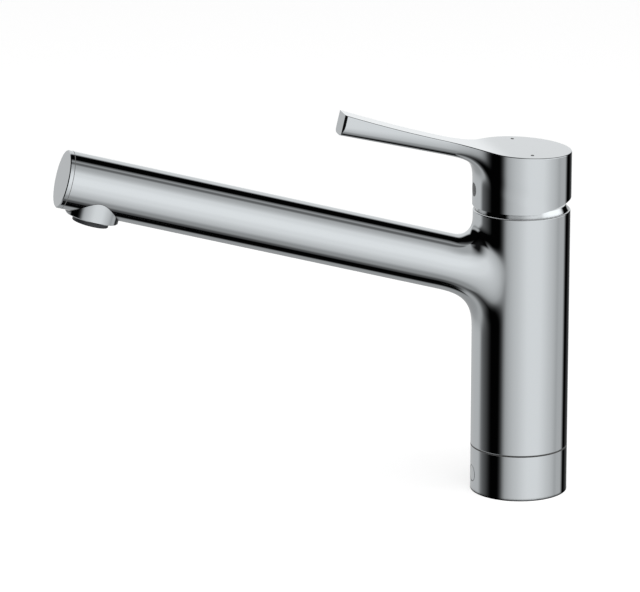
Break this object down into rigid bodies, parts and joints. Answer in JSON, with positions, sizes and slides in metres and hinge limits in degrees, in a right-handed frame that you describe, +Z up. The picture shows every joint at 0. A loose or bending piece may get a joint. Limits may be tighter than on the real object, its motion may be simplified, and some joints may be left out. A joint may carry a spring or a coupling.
{
  "type": "single-lever mixer tap",
  "caption": "Deck-mounted single-lever mixer tap: round column, rising swivel spout with a downward outlet, and a drum handle whose flat lever tips and turns.",
  "frame": {"origin": "middle of the foot, where the column's axis meets the deck", "axes": "+Z up along the column's axis; the spout and the lever point along -X; Y is across them"},
  "size_m": [0.2666, 0.0508, 0.2043],
  "materials": {
    "chrome": "mirror-bright chromium plate on polished brass",
    "grey_plastic": "moulded grey acetal, slightly glossy",
    "brass": "turned dezincification-resistant brass, as machined",
    "steel": "stainless steel, as machined",
    "white_plastic": "moulded white acetal",
    "dark_plastic": "moulded dark grey acetal",
    "ceramic": "lapped alumina ceramic",
    "rubber": "moulded black nitrile rubber"
  },
  "bodies": {
    "base": {"base_housing": "chrome", "base_screw_cover": "chrome", "base_clamp_screw": "steel", "base_gasket": "rubber", "mounting_foot": "brass", "foot_screws": "steel", "swivel_stop_pin": "steel", "inner_body": "brass", "lower_swivel_seal": "rubber", "upper_swivel_seal": "rubber", "lower_bearing_ring": "white_plastic", "upper_bearing_ring": "white_plastic", "cartridge_base": "white_plastic", "cartridge_port_seals": "rubber", "fixed_disc": "ceramic", "cartridge_housing": "white_plastic", "cartridge_nut": "brass", "trim_o_ring": "rubber", "trim_ring": "chrome"},
    "spout": {"spout_body": "chrome", "spout_end_cap": "chrome", "end_cap_o_ring": "rubber", "outlet_collar": "chrome", "aerator_washer": "rubber", "aerator_housing": "dark_plastic", "aerator_insert": "white_plastic", "aerator_mesh": "steel"},
    "guide": {"lever_guide": "white_plastic", "pivot_pin": "steel"},
    "valve": {"moving_disc": "ceramic", "disc_carrier": "white_plastic"},
    "lever": {"spindle": "steel", "handle": "chrome", "handle_screw_plug": "grey_plastic", "handle_grub_screw": "steel", "index_dots": "grey_plastic"}
  },
  "joints": [
    {"name": "spout_swivel", "type": "hinge", "parent": "base", "child": "spout", "pos_m": [0, 0, 0], "axis": [0, 0, 1], "range_deg": [-60, 60]},
    {"name": "lever_turn", "type": "hinge", "parent": "base", "child": "guide", "pos_m": [0, 0, 0.14995], "axis": [0, 0, 1], "range_deg": [-45, 45]},
    {"name": "lever_lift", "type": "hinge", "parent": "guide", "child": "lever", "pos_m": [0, 0, 0.14995], "axis": [0, 1, 0], "range_deg": [0, 13]},
    {"name": "disc_slide", "type": "slide", "parent": "guide", "child": "valve", "axis": [-1, 0, 0], "range_m": [0, 0.00484]}
  ],
  "couplings": [
    {"joint": "disc_slide", "follows": "lever_lift", "m_per_rad": 0.021296}
  ]
}
